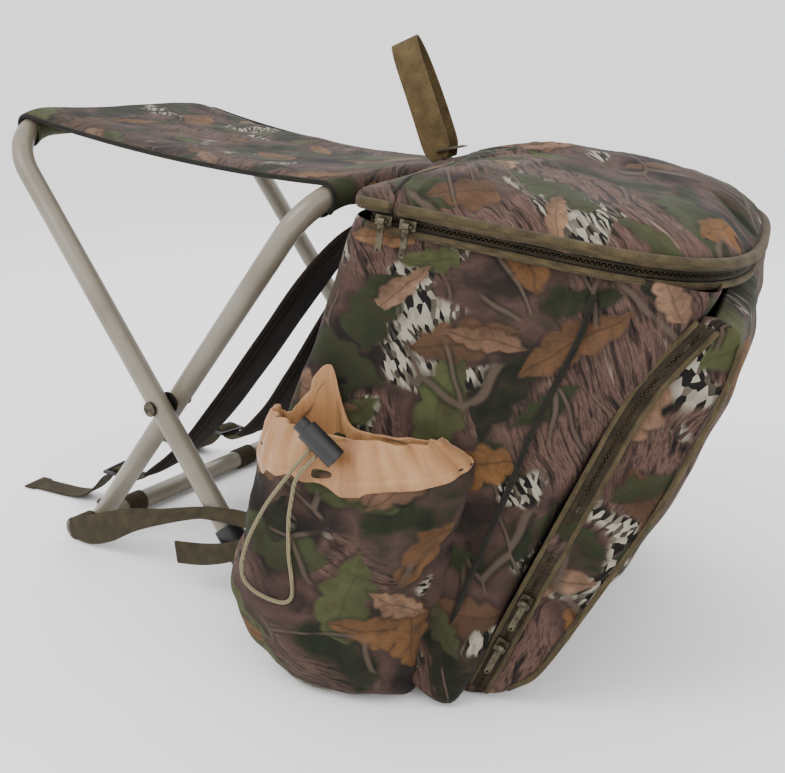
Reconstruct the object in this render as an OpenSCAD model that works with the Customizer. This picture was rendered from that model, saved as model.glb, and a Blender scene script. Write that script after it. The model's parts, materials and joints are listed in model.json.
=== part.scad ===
// Folding stool with a rucksack hung on its frame.
// Two tube frames cross at a pivot and carry a fabric seat; the sack hangs on the inner frame.
// Millimetres, +Z up, floor at z = 0, origin under the middle of the bounding box.

/* [Frame] */
// Outside diameter of the frame tube
tube_d = 20; // [18:0.5:22]
// Wall of the frame tube
tube_wall = 1.5; // [1:0.1:2]
// Distance between the leg axes of the outer frame
outer_width = 306; // [290:1:320]
// Length from the pivot up to the outer frame's top bar
outer_up = 316; // [300:1:325]
// Length from the pivot up to the inner frame's top bar
inner_up = 265; // [255:1:272]
// Height of the pivot above the floor
pivot_z = 168.5; // [160:0.5:176]
// Angle of each frame from the vertical when the stool is open
half_angle = 39; // [36:0.5:41]
// Radius of the bends beside the outer frame's top bar
outer_bend = 58; // [45:1:62]
// Radius of the bends beside the inner frame's top bar
inner_bend = 48; // [40:1:52]

/* [Seat] */
// Width of the seat fabric
seat_w = 256; // [230:1:262]
// Sag of the seat at its middle
seat_sag = 9; // [2:1:14]

/* [Sack] */
// Turn of the sack about the vertical, as it hangs
sack_yaw = 14; // [8:1:16]
// Width of the sack between its side panels
sack_w = 392; // [360:2:400]
// Depth of the lid from its hinge to its front
lid_depth = 272; // [262:1:280]
// Height of the lid's rear edge
rim_z = 379; // [374:1:384]
// Fall of the lid's rim towards the front, in degrees
lid_tilt = 7.5; // [6:0.5:9]
// Height of the lid's crown over its rim
lid_crown = 46; // [30:1:52]
// Thickness that stands for the sack's fabric
cloth = 3; // [2.5:0.5:4]

/* [Straps] */
// Width of each padded shoulder strap
strap_w = 64; // [56:1:68]
// Thickness of the shoulder straps' padding
strap_t = 9; // [7:0.5:11]
// Width of the webbing
web_w = 25; // [20:1:28]
// Thickness of the webbing
web_t = 1.8; // [1.5:0.1:2.2]

/* [Hidden] */
$fn = 48;

// Place of the pivot in the part's own frame
pivot_x = -113.6;
pivot_y = 5.3;
// Place of the sack's rear edge, from the pivot
sack_x = 200;
tube_r = tube_d / 2;
leg_gap = 2;
outer_y = outer_width / 2;
inner_y = outer_y - tube_d - leg_gap;
foot_bar_z = tube_r + web_t;
outer_down = (pivot_z - 10) / cos(half_angle);
inner_down = (pivot_z - foot_bar_z) / cos(half_angle);
foot_bar_y = outer_y + 13;
pin_r = 4;
pin_clearance = 0.08;
rivet_head = [7, 3];
rivet_tail = [6.5, 2];
washer_r = 11;
screw_head = [4, 1.6];
plug_l = 14;
tip_r = 12.5;
tip_l = 76;
gap = 0.4;
sleeve_t = 2.4;
half_w = sack_w / 2;
// Straight part of the lid's sides, squareness of its rounded front, cut of its rear corners
lid_straight = 130;
lid_squareness = 3.4;
lid_corner = 14;
// Height of the top's upright edge, and how far each step of the dome is drawn in
dome_edge = 15;
dome_step = 46;
// Distance of the hinge seam from the top's rear edge
hinge_u = 34;
strip_slope = atan2(lid_crown * 0.72 + 1 - dome_edge, dome_step);
rim_drop = tan(lid_tilt);
steel = [0.60, 0.56, 0.47];
black = [0.06, 0.06, 0.06];
camo = [0.33, 0.29, 0.20];
olive = [0.30, 0.28, 0.17];
tan_cloth = [0.72, 0.50, 0.28];
metal = [0.42, 0.40, 0.36];

// Side outline of the sack in its own frame: distance forward of the rear edge, height
front_foot = [95, 0.3];
front_knee = [184, 221];
front_top = [246, 322];
rear_heel = [-106, 76];
rear_top = [0, rim_z - 8];
lip_front = [252, rim_z - 8 - 252 * rim_drop];
sack_side = [rear_heel, front_foot, front_knee, front_top, lip_front, rear_top];
sack_mid = [90, 200];

// Direction of the front pocket's zip
zip_dir = (front_knee - front_foot) / norm(front_knee - front_foot);
zip_tilt = atan2(zip_dir[0], zip_dir[1]);
slider_upper_at = 102;
slider_lower_at = 58;

// Route of the draw cord's loop, chosen by hand, in the sack's frame
cord_d = 3;
cord_route = [
    [-4, -252, 216], [-8, -254, 211], [-14, -255, 203], [-22, -255, 192], [-31, -254, 180],
    [-40, -253, 167], [-48, -252, 153], [-55, -252, 139], [-60, -252, 125], [-63, -252, 112],
    [-61, -252, 101], [-54, -252, 94], [-45, -253, 91], [-36, -253, 89], [-28, -253, 89],
    [-22, -253, 93], [-20, -253, 101], [-21, -253, 115], [-22, -254, 130], [-22, -254, 145],
    [-21, -255, 160], [-18, -256, 176], [-15, -256, 190], [-9, -256, 200], [-3, -254, 207],
    [1, -252, 212]];
lock_mid = [4, -252, 220];
lock_tilt = 130;

// Unit normal of a path at point i
function heading(p, i) = let (a = p[max(i - 1, 0)], b = p[min(i + 1, len(p) - 1)]) (b - a) / norm(b - a);
function side_of(p, i, d) = p[i] + d * [-heading(p, i)[1], heading(p, i)[0]];
function band(p, t) = concat(
    [for (i = [0 : len(p) - 1]) side_of(p, i, t / 2)],
    [for (i = [len(p) - 1 : -1 : 0]) side_of(p, i, -t / 2)]);
function power(x, e) = sign(x) * pow(abs(x), e);
// The lid's outline, drawn in by d: square at the hinge and rounded at the front
function lid_points(d) = let (
    a = lid_depth - lid_straight - d, b = half_w - d, e = 2 / lid_squareness, n = 22) concat(
    [for (i = [0 : n]) let (t = -90 + 180 * i / n)
        [lid_straight + a * power(cos(t), e), b * power(sin(t), e)]],
    [[lid_corner + d, b], [d, b - lid_corner], [d, lid_corner - b], [lid_corner + d, -b]]);
// Distance of the sack's front from its rear edge at height z
function front_at(z) = z < front_knee[1]
    ? along(front_foot, front_knee, z)
    : along(front_knee, front_top, z);
function along(a, b, z) = a[0] + (b[0] - a[0]) * (z - a[1]) / (b[1] - a[1]);

// Frames in which the parts are drawn
module at_pivot() { translate([pivot_x, pivot_y, 0]) children(); }
module at_hinge_line() { at_pivot() translate([0, 0, pivot_z]) children(); }
module sack_frame() { at_pivot() translate([sack_x, 0, 0]) rotate([0, 0, sack_yaw]) children(); }
module lid_frame() { sack_frame() translate([0, 0, rim_z]) rotate([0, lid_tilt, 0]) children(); }
// A side outline given width w across the part
module across(w) { rotate([90, 0, 0]) linear_extrude(height = w, center = true) children(); }
// A strap of thickness t and width w that follows a path drawn in the side view
module ribbon(path, t, w) { across(w) polygon(band(path, t)); }
module both_sides() {
    children();
    mirror([0, 1, 0]) children();
}

// ---- Frame ----

// Legs, bends and top bar of one frame, as a solid rod of radius r
module u_rod(half, up, down, bend, r) {
    both_sides() {
        translate([0, -half, -down]) cylinder(r = r, h = down + up - bend);
        mirror([0, 1, 0]) translate([0, half - bend, up - bend]) rotate([90, 0, 90])
            rotate_extrude(angle = 90) translate([bend, 0]) circle(r = r);
    }
    translate([0, 0, up]) rotate([90, 0, 0]) cylinder(r = r, h = 2 * (half - bend), center = true);
}

module u_tube(half, up, down, bend, bore_r) {
    difference() {
        u_rod(half, up, down, bend, tube_r);
        u_rod(half, up, down + 1, bend, tube_r - tube_wall);
        rotate([90, 0, 0]) cylinder(r = bore_r, h = outer_width + 4 * tube_d, center = true);
    }
}

module outer_frame() {
    color(steel) at_hinge_line() rotate([0, -half_angle, 0])
        u_tube(outer_y, outer_up, outer_down, outer_bend, pin_r + pin_clearance);
}

// Moulded tips on the free ends of the outer legs, cut level with the floor
module outer_foot_tips() {
    color(black) at_hinge_line() difference() {
        rotate([0, -half_angle, 0]) both_sides() translate([0, -outer_y, -outer_down]) difference() {
            translate([0, 0, -40]) cylinder(r = tip_r, h = 40 + tip_l);
            cylinder(r = tube_r, h = tip_l + 1);
        }
        translate([0, 0, -pivot_z - 100]) cube([600, 600, 200], center = true);
    }
}

module inner_frame() {
    color(steel) at_hinge_line() difference() {
        rotate([0, half_angle, 0]) u_tube(inner_y, inner_up, inner_down, inner_bend, pin_r);
        foot_bar_axis() cylinder(r = tube_r, h = 2 * foot_bar_y + 2, center = true);
    }
}

module foot_bar_axis() {
    rotate([0, half_angle, 0]) translate([0, 0, -inner_down]) rotate([90, 0, 0]) children();
}

module inner_foot_bar() {
    color(steel) at_hinge_line() foot_bar_axis() difference() {
        cylinder(r = tube_r, h = 2 * foot_bar_y, center = true);
        cylinder(r = tube_r - tube_wall, h = 2 * foot_bar_y + 2, center = true);
    }
}

// Domed screw heads that hold the foot bar to the inner legs
module foot_bar_screws() {
    color(metal) at_hinge_line() both_sides()
        translate([0, -inner_y, 0]) rotate([0, half_angle, 0])
            translate([-tube_r - 0.2, 0, 16 - inner_down])
            rotate([0, -90, 0]) {
                cylinder(r = screw_head[0], h = screw_head[1]);
                translate([0, 0, screw_head[1]]) cylinder(r1 = screw_head[0], r2 = 2.4, h = 1.2);
            }
}

module foot_bar_plugs() {
    color(black) at_hinge_line() foot_bar_axis() for (s = [-1, 1])
        translate([0, 0, s * (foot_bar_y - plug_l / 2)]) difference() {
            cylinder(r = tube_r - tube_wall, h = plug_l, center = true);
            translate([0, 0, -s * 3]) cylinder(r = tube_r - tube_wall - 2, h = plug_l, center = true);
        }
}

module pivot_rivets() {
    outside = outer_y + tube_r + 0.3;
    inside = inner_y - tube_r - 0.05;
    color(metal) at_hinge_line() both_sides() rotate([90, 0, 0]) {
        translate([0, 0, inside]) cylinder(r = pin_r, h = outside - inside);
        translate([0, 0, outside]) cylinder(r = rivet_head[0], h = rivet_head[1]);
        translate([0, 0, inside - rivet_tail[1]]) cylinder(r = rivet_tail[0], h = rivet_tail[1]);
    }
}

module pivot_washers() {
    color(black) at_hinge_line() both_sides() rotate([90, 0, 0])
        translate([0, 0, inner_y + tube_r + 0.3]) difference() {
            cylinder(r = washer_r, h = leg_gap - 0.7);
            translate([0, 0, -1]) cylinder(r = pin_r + 0.02, h = leg_gap + 2);
        }
}

// ---- Seat ----

outer_bar = [-outer_up * sin(half_angle), pivot_z + outer_up * cos(half_angle)];
inner_bar = [inner_up * sin(half_angle), pivot_z + inner_up * cos(half_angle)];
seat_rise = tube_r + sleeve_t + gap + 1;
seat_steps = 12;
seat_path = [for (i = [0 : seat_steps]) let (t = i / seat_steps)
    outer_bar * (1 - t) + inner_bar * t + [0, seat_rise - 4 * seat_sag * t * (1 - t)]];

module seat_panel() { color(camo) at_pivot() ribbon(seat_path, 2, seat_w - 16); }

module seat_binding(side) {
    color(olive) at_pivot() translate([0, side * (seat_w / 2 - 4), 0]) ribbon(seat_path, 3.2, 7.9);
}
module seat_binding_near() { seat_binding(-1); }
module seat_binding_far() { seat_binding(1); }

module bar_sleeve(at, w) {
    color(camo) at_pivot() translate([at[0], 0, at[1]]) rotate([90, 0, 0]) difference() {
        cylinder(r = tube_r + sleeve_t, h = w, center = true);
        cylinder(r = tube_r, h = w + 2, center = true);
    }
}
module seat_sleeve_outer() { bar_sleeve(outer_bar, 2 * (outer_y - outer_bend)); }
module seat_sleeve_inner() { bar_sleeve(inner_bar, 2 * (inner_y - inner_bend)); }

// ---- Sack ----

// Room kept for the frames: everything behind the inner frame and the outer frame's lower legs
module frame_room(room) {
    c = cos(half_angle);
    s = sin(half_angle);
    knee = [room / c, pivot_z];
    at_pivot() across(700) polygon([
        [-400, -20], [knee[0] + (pivot_z + 20) * s / c, -20], knee,
        [knee[0] + (inner_bar[1] + 60 - pivot_z) * s / c, inner_bar[1] + 60], [-400, inner_bar[1] + 60]]);
}

// Flap that joins the sack's rear edge to the sleeve on the inner frame's top bar
module sack_hanger() {
    x0 = inner_bar[0] + tube_r + sleeve_t;
    color(camo) at_pivot() translate([0, 0, rim_z - 17]) linear_extrude(height = 4)
        polygon([[x0, -82], [x0, 40], [sack_x + 86 * tan(sack_yaw) - 29.5, 40],
            [sack_x + 82 * tan(sack_yaw) - 1.5, -82]]);
}

function toward(p, c, d) = p + d * (c - p) / norm(c - p);
inner_side = [for (p = sack_side) toward(p, sack_mid, 1.45 * cloth)];

module sack_plan(d) {
    translate([0, 0, -20]) linear_extrude(height = 460)
        polygon(concat([[-140, half_w - d], [-140, d - half_w]],
            [for (p = lid_points(d - 0.4)) if (p[0] > 60) p]));
}

module sack_body() {
    color(camo) difference() {
        difference() {
            sack_frame() intersection() {
                across(sack_w) polygon(sack_side);
                sack_plan(0);
            }
            frame_room(tip_r + 4);
        }
        difference() {
            sack_frame() intersection() {
                across(sack_w - 2 * cloth) polygon(concat(
                    [for (i = [0 : 3]) inner_side[i]], [lip_front + [-cloth, 40], rear_top + [cloth, 40]]));
                sack_plan(cloth);
            }
            frame_room(tip_r + 4 + cloth);
        }
    }
}

// Bound seam where each side panel meets the front
module side_piping(side) {
    seam = [for (z = [20, 70, 120, 170, 221, 262, 300]) [front_at(z) - 30 - 46 * (z - 20) / 280, z]];
    color(olive) sack_frame() translate([0, side * (half_w + 1.7), 0]) ribbon(seam, 5, 3);
}
module side_piping_near() { side_piping(-1); }
module side_piping_far() { side_piping(1); }

// ---- Lid ----

module lid_slab(d, h) { linear_extrude(height = h) polygon(lid_points(d)); }

// Domed top, hollow underneath, before it is split at the hinge seam
module dome() {
    difference() {
        hull() {
            lid_slab(0, dome_edge);
            translate([0, 0, lid_crown * 0.72]) lid_slab(dome_step, 1);
            translate([0, 0, lid_crown - 1]) lid_slab(2 * dome_step, 1);
        }
        hull() {
            translate([0, 0, -1]) lid_slab(cloth + 2, dome_edge - 1);
            translate([0, 0, lid_crown * 0.72 - 5]) lid_slab(dome_step + 4, 1);
            translate([0, 0, lid_crown - 6]) lid_slab(2 * dome_step, 1);
        }
    }
}
// Slice of the top between two distances from its rear edge
module between(u0, u1) { translate([u0, -300, -20]) cube([u1 - u0, 600, 100]); }

module lid_shell() { color(camo) lid_frame() intersection() { dome(); between(hinge_u + 0.5, 400); } }
module top_strip() { color(camo) lid_frame() intersection() { dome(); between(-10, hinge_u - 0.5); } }

// A ring round the outside of the top, between two offsets of its outline
module rim_ring(outer_d, inner_d, h) {
    linear_extrude(height = h) difference() {
        polygon(lid_points(outer_d));
        polygon(lid_points(inner_d));
    }
}
module rim_cord() { translate([0, 0, 1]) rim_ring(-5.5, -0.05, 8); }

module lid_piping() {
    color(olive) lid_frame() intersection() { rim_cord(); between(hinge_u + 0.5, 400); }
}
module top_strip_piping() {
    color(olive) lid_frame() intersection() { rim_cord(); between(6, hinge_u - 0.5); }
}

module lid_zip_chain() {
    color(olive) lid_frame() intersection() {
        translate([0, 0, -7.6]) rim_ring(-3.4, 1.2, 6.8);
        between(18, 400);
    }
}

// Slider body with a bridge bar along X that a pull's ring turns on; the zip lies behind it
bridge_y = -6;
module zip_slider(size_x, size_z) {
    translate([-size_x / 2, -2.8, -size_z / 2]) cube([size_x, 2.6, size_z]);
    translate([-4, bridge_y - 0.6, -0.8]) cube([8, 1.2, 1.6]);
    for (x = [-4, 3]) translate([x, bridge_y - 0.1, -0.8]) cube([1, 3.5, 1.6]);
}

// Pull that hangs from the bridge: a ring round the bar and a tab below it
module zip_pull(l) {
    translate([0, bridge_y, 0]) difference() {
        union() {
            rotate([0, 90, 0]) cylinder(r = 2.6, h = 4.8, center = true);
            translate([-2.4, -0.7, -l]) cube([4.8, 1.4, l - 2]);
            translate([0, 0.7, -l]) rotate([90, 0, 0]) cylinder(r = 2.4, h = 1.4);
        }
        rotate([0, 90, 0]) cylinder(r = 1.5, h = 6, center = true);
        translate([0, 2, -l]) rotate([90, 0, 0]) cylinder(r = 1, h = 4);
    }
}

lid_slider_u = [30, 48];
module lid_slider_frame(i) {
    lid_frame() translate([lid_slider_u[i], -half_w - 3.8, -4.2]) children();
}
module lid_sliders() { color(metal) for (i = [0, 1]) lid_slider_frame(i) zip_slider(12, 7.2); }
module lid_pull_rear() { color(metal) lid_slider_frame(0) zip_pull(20); }
module lid_pull_front() { color(metal) lid_slider_frame(1) zip_pull(20); }

// ---- Haul loop ----

loop_base = [6, 397];
loop_lean = 22;
loop_w = 25;
loop_t = 2.2;
loop_half = [[-13, 1], [-13, 30], [-12, 60], [-9.5, 85], [-5, 99], [0, 103]];
loop_path = concat(loop_half, [for (i = [4 : -1 : 0]) [-loop_half[i][0], loop_half[i][1]]]);
// The loop stands on the strip and leans towards the seat; its ends narrow where it is sewn down
module haul_loop() {
    color(tan_cloth) sack_frame() translate([loop_base[0], 0, loop_base[1]]) rotate([0, -loop_lean, 0])
        intersection() {
            rotate([90, 0, 90]) linear_extrude(height = loop_w, center = true)
                polygon(band(loop_path, loop_t));
            across(60) polygon([[-4, 0.4], [4, 0.4], [loop_w / 2, 12], [loop_w / 2, 130],
                [-loop_w / 2, 130], [-loop_w / 2, 12]]);
        }
}
module haul_loop_patch() {
    color(olive) lid_frame() translate([0, 0, dome_edge]) rotate([0, -strip_slope, 0])
        translate([1, -19, 0.1]) cube([18, 38, 1.2]);
}

// ---- Front pocket ----

pocket_w = sack_w - 16;
pocket_back = [front_foot + [0.4, 1], front_knee + [0.4, 0], front_top + [-0.6, -4]];
pocket_face = [[273, 317], [266, 271], [238, 196], [209, 135], [160, 40], [124, 2.5]];
pocket_face_inside = [[270, 313], [262.5, 271], [235, 197], [206, 137], [156.5, 42], [120, 7]];
module front_pocket() {
    color(camo) sack_frame() difference() {
        across(pocket_w) polygon(concat(pocket_back, pocket_face));
        across(pocket_w - 2 * cloth) polygon(concat([[86, 7], [176, 226], [233, 314]], pocket_face_inside));
    }
}

// Bound edge round the face of the front pocket, on both sides
module front_pocket_piping() {
    color(olive) sack_frame() for (s = [-1, 1]) translate([0, s * (pocket_w / 2 + 1.4), 0])
        ribbon([for (p = pocket_face) p + [-4, 0]], 5, 2.4);
}

module zip_line(offset_x, a, b) {
    ribbon([front_foot + a * zip_dir + [offset_x, 0], front_foot + b * zip_dir + [offset_x, 0]], 7, 2);
}
module front_zip_chain() {
    color(olive) sack_frame() translate([0, -pocket_w / 2 - 1.2, 0]) zip_line(9, 12, 234);
}

module front_slider_frame(along) {
    at = front_foot + along * zip_dir + [9, 0];
    sack_frame() translate([at[0], -pocket_w / 2 - 2.6, at[1]]) rotate([0, zip_tilt, 0]) children();
}
module front_slider_upper() { color(metal) front_slider_frame(slider_upper_at) zip_slider(9, 12); }
module front_slider_lower() { color(metal) front_slider_frame(slider_lower_at) zip_slider(9, 12); }
module front_pull_upper() { color(metal) front_slider_frame(slider_upper_at) zip_pull(24); }
module front_pull_lower() { color(metal) front_slider_frame(slider_lower_at) zip_pull(24); }

// ---- Side pockets ----

// Outline of a pocket in plan, bulging by b from the side panel; back is how far it runs inside it
function pouch(mid, a, b, back) = concat(
    [for (i = [0 : 14]) let (t = 180 + 180 * i / 14)
        [mid + a * power(cos(t), 2 / 2.8), -half_w - 0.3 + b * power(sin(t), 2 / 2.8)]],
    [[mid + a, back - half_w - 0.3], [mid - a, back - half_w - 0.3]]);
// Heights of the pocket's sections, each with its middle, half length and bulge
pouch_rows = [[3, 12, 50, 30], [95, -14, 92, 53], [200, 16, 84, 46]];
module pouch_hull(inset, back, floor_up, top_up) {
    hull() for (i = [0 : 2]) {
        row = pouch_rows[i];
        z = row[0] + (i == 0 ? floor_up : i == 2 ? top_up : 0);
        translate([0, 0, z]) linear_extrude(height = 0.5)
            polygon(pouch(row[1], row[2] - inset, row[3] - inset, back));
    }
}

module side_pocket() {
    sack_frame() difference() {
        pouch_hull(0, 0, 0, 0);
        pouch_hull(cloth, 5, 4, 1);
    }
}
module side_pocket_near() { color(camo) side_pocket(); }

module mirrored_in_sack() {
    sack_frame() mirror([0, 1, 0]) rotate([0, 0, -sack_yaw]) translate([-sack_x, 0, 0])
        translate([-pivot_x, -pivot_y, 0]) children();
}
module side_pocket_far() {
    color(camo) difference() {
        mirrored_in_sack() side_pocket();
        frame_room(tip_r + 4);
    }
}

module pocket_collar() {
    sack_frame() translate([0, 0, 201]) difference() {
        hull() {
            linear_extrude(height = 0.5) polygon(pouch(16, 84, 46, 0));
            translate([0, 0, 22]) linear_extrude(height = 0.5) polygon(pouch(14, 76, 38, 0));
        }
        hull() {
            translate([0, 0, -1]) linear_extrude(height = 0.5) polygon(pouch(16, 81, 43, 5));
            translate([0, 0, 23]) linear_extrude(height = 0.5) polygon(pouch(14, 73, 35, 5));
        }
    }
}
module pocket_collar_near() { color(tan_cloth) pocket_collar(); }
module pocket_collar_far() { color(tan_cloth) mirrored_in_sack() pocket_collar(); }

// ---- Cord lock and its cord ----

lock_l = 30;
module lock_frame() { sack_frame() translate(lock_mid) rotate([0, lock_tilt, 0]) children(); }

module cord_lock_barrel() {
    color(black) lock_frame() difference() {
        translate([0, 0, -lock_l / 2]) cylinder(r = 8, h = lock_l);
        translate([0, 0, -lock_l / 2 - 1]) cylinder(r = 6.2, h = lock_l - 5);
    }
}

// Sprung button at the upper end of the barrel
module cord_lock_button() {
    color(black) lock_frame() translate([0, 0, -lock_l / 2 - 7]) difference() {
        cylinder(r = 5.9, h = 16);
        translate([0, 0, 4]) cylinder(r = 4.4, h = 14);
    }
}

function catmull(p, i, t) = let (
    a = p[max(i - 1, 0)], b = p[i], c = p[i + 1], d = p[min(i + 2, len(p) - 1)])
    0.5 * (2 * b + (c - a) * t + (2 * a - 5 * b + 4 * c - d) * t * t + (3 * b - a - 3 * c + d) * t * t * t);
function smooth(p, n) = concat(
    [for (i = [0 : len(p) - 2], k = [0 : n - 1]) catmull(p, i, k / n)], [p[len(p) - 1]]);
// Rings of a round tube along a path that lies nearly in one upright plane
function tube_ring(p, i, r, sides) = let (
    run = p[min(i + 1, len(p) - 1)] - p[max(i - 1, 0)],
    t = run / norm(run),
    across_raw = cross(t, [0, 1, 0]),
    e1 = across_raw / norm(across_raw),
    e2 = cross(t, e1))
    [for (k = [0 : sides - 1]) p[i] + r * (cos(360 * k / sides) * e1 + sin(360 * k / sides) * e2)];
module swept_tube(p, r, sides) {
    n = len(p);
    polyhedron(
        points = [for (i = [0 : n - 1]) for (q = tube_ring(p, i, r, sides)) q],
        faces = concat(
            [[for (k = [0 : sides - 1]) k]],
            [for (i = [0 : n - 2], k = [0 : sides - 1])
                let (a = i * sides, b = a + sides, m = (k + 1) % sides) [a + k, b + k, b + m, a + m]],
            [[for (k = [sides - 1 : -1 : 0]) (n - 1) * sides + k]]));
}
module draw_cord() {
    color([0.62, 0.58, 0.44]) sack_frame() swept_tube(smooth(cord_route, 2), cord_d / 2, 8);
}

// ---- Shoulder straps ----

strap_splay = 8;
strap_anchor_y = 87;
strap_start = [178, 35];
// A strap's own frame: X runs from the sack down towards the foot bar, for side -1 near and 1 far
module strap_frame(side) {
    at_pivot() translate([strap_start[0], side * strap_start[1], 0])
        rotate([0, 0, 180 - side * strap_splay]) children();
}
pad_path = [
    [-6, 350], [13, 343], [38, 328], [73, 293], [118, 234], [163, 174], [208, 118], [240, 86],
    [262, 67], [282, 54]];
web_path = [
    [286.5, 49], [295, 44.5], [304, 41.5], [317, 41.5], [325, 48.8], [331, 48.8],
    [339, 41.5], [348, 35], [362, 20], [378, 8], [398, 3], [430, 2], [466, 2]];
module shoulder_strap(side) { strap_frame(side) ribbon(pad_path, strap_t, strap_w); }
module shoulder_strap_near() { color(black) shoulder_strap(-1); }
module shoulder_strap_far() { color(black) shoulder_strap(1); }

// Webbing from the pad through the buckle to its loose tail, and the loop that holds the buckle
module strap_webbing(side) {
    strap_frame(side) ribbon(web_path, web_t, web_w);
    at_hinge_line() translate([0, side * strap_anchor_y, 0]) foot_bar_axis() web_loop();
}
module web_loop() {
    difference() {
        cylinder(r = tube_r + web_t, h = web_w, center = true);
        cylinder(r = tube_r, h = web_w + 2, center = true);
    }
}
module strap_webbing_near() { color(olive) strap_webbing(-1); }
module strap_webbing_far() { color(olive) strap_webbing(1); }

// Ladder buckles: a frame with two slots either side of a middle bar
buckle = [26, 34, 3];
buckle_at = [328, 0, 45.6];
slot = [8, 27.5, 4];
module strap_buckles() {
    color(black) for (side = [-1, 1]) strap_frame(side) translate(buckle_at) difference() {
        cube(buckle, center = true);
        for (x = [-6.2, 6.2]) translate([x, 0, 0]) cube(slot, center = true);
    }
}

// ---- Foot straps ----

foot_bar_x = -inner_down * sin(half_angle);
foot_strap_w = 22;
// Webbing from each end of the foot bar, outside the outer leg, up to the sack
module foot_strap(side, path) {
    at_hinge_line() translate([0, side * (foot_bar_y - web_w / 2), 0]) foot_bar_axis() web_loop();
    at_pivot() translate([0, side * (foot_bar_y + web_t / 2 + 0.1), 0]) ribbon(path, foot_strap_w, web_t);
}
foot_strap_path = [
    [foot_bar_x - 4, 11.6], [-90, 22], [-40, 48], [10, 68], [70, 84], [102, 91]];
module foot_strap_near() { color(olive) foot_strap(-1, concat(foot_strap_path, [[134, 96]])); }
module foot_strap_far() { color(olive) foot_strap(1, [for (i = [0 : 3]) foot_strap_path[i]]); }

// Loose end of the lashing web sewn to the sack's heel
module lash_webbing() {
    color(olive) at_pivot() translate([0, -foot_bar_y - 5.5, 0])
        ribbon([[33, 37], [60, 44], [96, 52], [120, 62], [134, 76]], 20, web_t);
}

outer_frame();
outer_foot_tips();
inner_frame();
inner_foot_bar();
foot_bar_screws();
foot_bar_plugs();
pivot_rivets();
pivot_washers();
seat_panel();
seat_binding_near();
seat_binding_far();
seat_sleeve_outer();
seat_sleeve_inner();
sack_hanger();
sack_body();
side_piping_near();
side_piping_far();
top_strip();
top_strip_piping();
lid_shell();
lid_piping();
lid_zip_chain();
lid_sliders();
lid_pull_rear();
lid_pull_front();
haul_loop();
haul_loop_patch();
front_pocket();
front_pocket_piping();
front_zip_chain();
front_slider_upper();
front_slider_lower();
front_pull_upper();
front_pull_lower();
side_pocket_near();
side_pocket_far();
pocket_collar_near();
pocket_collar_far();
cord_lock_barrel();
cord_lock_button();
draw_cord();
shoulder_strap_near();
shoulder_strap_far();
strap_webbing_near();
strap_webbing_far();
strap_buckles();
foot_strap_near();
foot_strap_far();
lash_webbing();
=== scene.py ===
"""Folding stool with a camouflage rucksack on its frame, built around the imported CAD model."""

import json
from math import cos, pi, radians, sin, sqrt, tan

import bmesh
import bpy
import numpy as np
from mathutils import Matrix, Vector, noise


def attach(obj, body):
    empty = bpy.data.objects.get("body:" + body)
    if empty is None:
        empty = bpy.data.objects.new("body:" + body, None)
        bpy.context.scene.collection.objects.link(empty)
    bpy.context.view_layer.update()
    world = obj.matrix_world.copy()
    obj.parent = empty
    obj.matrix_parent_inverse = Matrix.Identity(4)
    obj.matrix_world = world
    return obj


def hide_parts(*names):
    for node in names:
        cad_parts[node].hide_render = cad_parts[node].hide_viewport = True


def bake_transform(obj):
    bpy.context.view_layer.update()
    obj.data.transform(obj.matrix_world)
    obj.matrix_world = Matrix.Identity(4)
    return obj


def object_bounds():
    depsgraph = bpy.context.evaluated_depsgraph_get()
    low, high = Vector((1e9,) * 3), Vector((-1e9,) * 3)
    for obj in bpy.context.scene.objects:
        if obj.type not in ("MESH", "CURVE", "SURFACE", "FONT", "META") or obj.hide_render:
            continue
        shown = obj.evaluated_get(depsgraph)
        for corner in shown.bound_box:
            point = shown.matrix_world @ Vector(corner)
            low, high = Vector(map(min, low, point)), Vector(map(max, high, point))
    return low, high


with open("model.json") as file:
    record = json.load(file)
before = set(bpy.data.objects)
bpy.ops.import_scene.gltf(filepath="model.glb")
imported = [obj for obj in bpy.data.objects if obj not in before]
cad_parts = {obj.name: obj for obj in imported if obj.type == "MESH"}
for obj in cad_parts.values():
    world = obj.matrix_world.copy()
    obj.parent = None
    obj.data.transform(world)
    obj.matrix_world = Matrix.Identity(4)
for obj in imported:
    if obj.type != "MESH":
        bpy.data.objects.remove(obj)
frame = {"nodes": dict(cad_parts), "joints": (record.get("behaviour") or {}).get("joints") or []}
cad_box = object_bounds()
cad_low, cad_high = np.array(cad_box[0], float), np.array(cad_box[1], float)
PAST_CAD = 0.012  # metres that soft cloth may reach past the CAD's box
NODES = frame["nodes"]
JOINTS = {j["name"]: j for j in frame["joints"]}
ROOT, OUTER = "inner_frame_and_sack", "outer_frame"
MM = 0.001
SIDES = (-1, "near"), (1, "far")
PIVOT = np.array(JOINTS["fold"]["pos_m"], float)
SACK_X, YAW, LID_TILT, RIM_Z = 200, radians(14), radians(7.5), 379
HALF_W, HALF_ANGLE, LID_DEPTH, HINGE_U = 196, radians(39), 272, 34
# The lid's straight side length and squareness, as in part.scad
LID_STRAIGHT, LID_SQUARENESS = 130, 3.4
PIVOT_Z, OUTER_UP, INNER_UP, FOOT_BAR_Z = 168.5, 316, 265, 11.8
OUTER_BAR = np.array([-OUTER_UP * sin(HALF_ANGLE), PIVOT_Z + OUTER_UP * cos(HALF_ANGLE)])
INNER_BAR = np.array([INNER_UP * sin(HALF_ANGLE), PIVOT_Z + INNER_UP * cos(HALF_ANGLE)])
FOOT_BAR = np.array([-(PIVOT_Z - FOOT_BAR_Z) * tan(HALF_ANGLE), FOOT_BAR_Z])


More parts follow.
